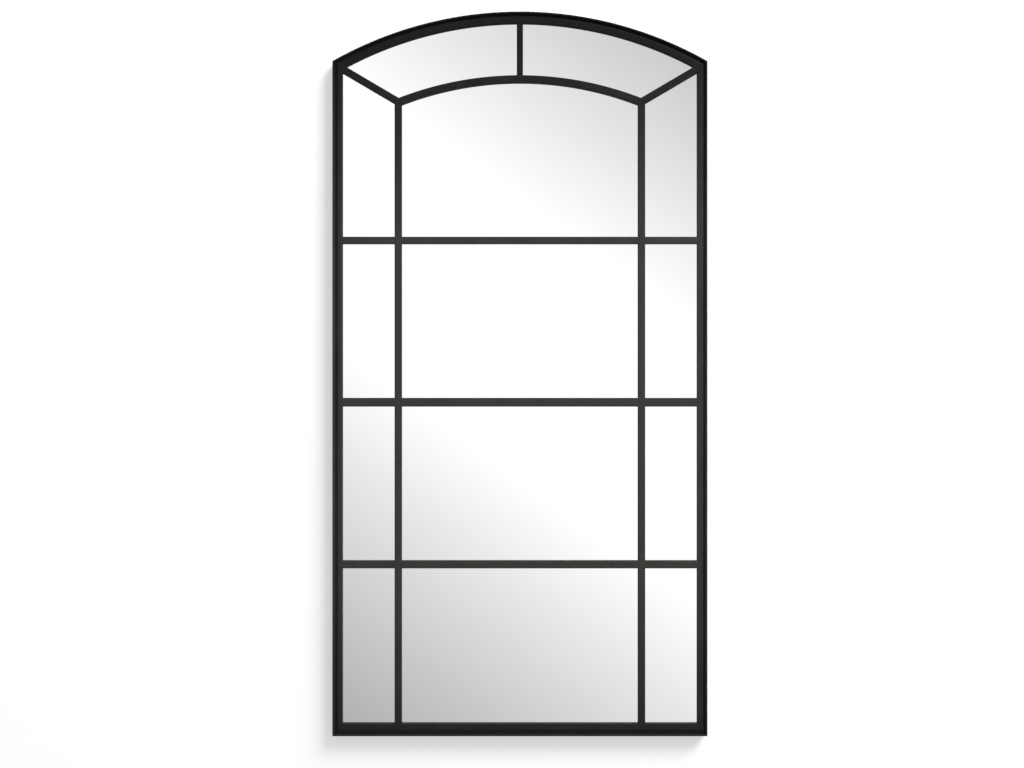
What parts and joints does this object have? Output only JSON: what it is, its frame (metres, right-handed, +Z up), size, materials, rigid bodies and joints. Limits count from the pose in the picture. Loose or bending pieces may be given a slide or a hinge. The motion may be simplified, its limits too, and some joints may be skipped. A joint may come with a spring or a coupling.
{
  "type": "arched window mirror",
  "caption": "Full-length wall mirror with an arched top: a black steel window frame with glazing bars over a sheet of mirror glass, hung by D-rings on the back.",
  "frame": {"origin": "bottom centre of the bounding box: middle of the width, middle of the depth, level with the underside of the frame", "axes": "+X to the viewer's right, -Y out of the mirror's front, +Y towards the wall, +Z up"},
  "size_m": [0.94, 0.032, 1.816],
  "materials": {
    "black_paint": "satin black powder coat with a fine texture",
    "mirror_glass": "clear float glass silvered on the back",
    "glazing_foam": "closed-cell black foam tape",
    "hardboard": "brown hardboard, smooth face outwards",
    "zinc": "bright zinc plated steel",
    "black_rubber": "matte moulded rubber"
  },
  "bodies": {
    "frame": {"backing_board": "hardboard", "board_screw_arch_1": "zinc", "board_screw_arch_2": "zinc", "board_screw_bottom_1": "zinc", "board_screw_bottom_2": "zinc", "board_screw_left_1": "zinc", "board_screw_left_2": "zinc", "board_screw_left_3": "zinc", "board_screw_left_4": "zinc", "board_screw_right_1": "zinc", "board_screw_right_2": "zinc", "board_screw_right_3": "zinc", "board_screw_right_4": "zinc", "corner_bar_left": "black_paint", "corner_bar_right": "black_paint", "corner_gusset_left": "black_paint", "corner_gusset_right": "black_paint", "crossbar_lower_centre": "black_paint", "crossbar_lower_left": "black_paint", "crossbar_lower_right": "black_paint", "crossbar_middle_centre": "black_paint", "crossbar_middle_left": "black_paint", "crossbar_middle_right": "black_paint", "crossbar_upper_centre": "black_paint", "crossbar_upper_left": "black_paint", "crossbar_upper_right": "black_paint", "crown_bar": "black_paint", "face_bar_arch": "black_paint", "face_bar_bottom": "black_paint", "face_bar_left": "black_paint", "face_bar_right": "black_paint", "glazing_tape_arch": "glazing_foam", "glazing_tape_bottom": "glazing_foam", "glazing_tape_left": "glazing_foam", "glazing_tape_right": "glazing_foam", "hanger_plate_left": "black_paint", "hanger_plate_right": "black_paint", "hanger_screw_left_1": "zinc", "hanger_screw_left_2": "zinc", "hanger_screw_right_1": "zinc", "hanger_screw_right_2": "zinc", "hanger_strap_left": "zinc", "hanger_strap_right": "zinc", "inner_arch": "black_paint", "mirror_glass": "mirror_glass", "rim_arch": "black_paint", "rim_bottom": "black_paint", "rim_left": "black_paint", "rim_right": "black_paint", "setting_block_left": "black_rubber", "setting_block_right": "black_rubber", "upright_bar_left": "black_paint", "upright_bar_right": "black_paint", "wall_bumper_left": "black_rubber", "wall_bumper_right": "black_rubber"},
    "ring_left": {"d_ring_left": "zinc"},
    "ring_right": {"d_ring_right": "zinc"}
  },
  "joints": [
    {"name": "d_ring_left_swing", "type": "hinge", "parent": "frame", "child": "ring_left", "pos_m": [-0.44, 0.00985, 1.56], "axis": [1, 0, 0], "range_deg": [0, 180]},
    {"name": "d_ring_right_swing", "type": "hinge", "parent": "frame", "child": "ring_right", "pos_m": [0.44, 0.00985, 1.56], "axis": [1, 0, 0], "range_deg": [0, 180]}
  ]
}
